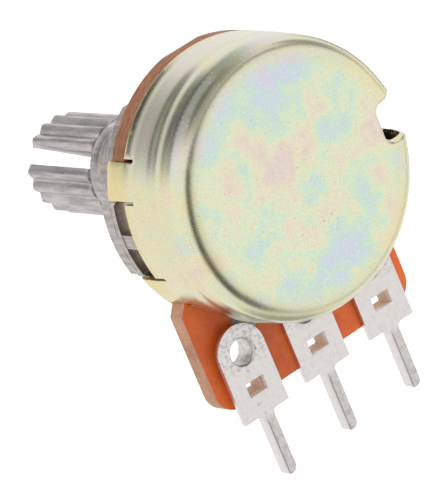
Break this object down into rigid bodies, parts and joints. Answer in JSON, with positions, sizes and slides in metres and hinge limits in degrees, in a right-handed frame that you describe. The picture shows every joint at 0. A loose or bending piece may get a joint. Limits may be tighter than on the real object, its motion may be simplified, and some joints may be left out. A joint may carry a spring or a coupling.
{
  "type": "rotary potentiometer",
  "caption": "Panel-mount rotary potentiometer: a round steel can on a die-cast bush, a split knurled shaft that turns a wiper over a carbon track, and straight circuit-board pins.",
  "frame": {"origin": "on the shaft axis, in the mounting face of the front plate, where the bush leaves it", "axes": "-Y along the shaft towards its tip, +Y towards the back of the can, -Z along the pins, +X to the right seen from the shaft end"},
  "size_m": [0.0164, 0.0242, 0.0247],
  "materials": {
    "zinc_plate": "die-cast zinc, satin, faint parting line",
    "zinc_shaft": "die-cast zinc, satin",
    "chromate_steel": "zinc-plated steel with a pale iridescent yellow chromate",
    "phenolic_wafer": "orange-red paper laminate with a tan cut edge",
    "carbon_ink": "matt black carbon ink",
    "silver_ink": "matt silver ink",
    "tinned_brass": "bright tin over stamped brass",
    "spring_steel": "dark spring steel",
    "rotor_plastic": "moulded black plastic",
    "bronze_spring": "phosphor bronze sheet"
  },
  "bodies": {
    "housing": {"mounting_plate": "zinc_plate", "can": "chromate_steel", "wafer": "phenolic_wafer", "carbon_track": "carbon_ink", "end_pad_1": "silver_ink", "end_pad_3": "silver_ink", "collector_ring": "silver_ink", "terminal_1": "tinned_brass", "terminal_2": "tinned_brass", "terminal_3": "tinned_brass"},
    "spindle": {"shaft": "zinc_shaft", "retaining_ring": "spring_steel", "rotor": "rotor_plastic", "wiper_spring": "bronze_spring"}
  },
  "joints": [
    {"name": "shaft_turn", "type": "hinge", "parent": "housing", "child": "spindle", "pos_m": [0, 0, 0], "axis": [0, 1, 0], "range_deg": [-150, 150]}
  ]
}
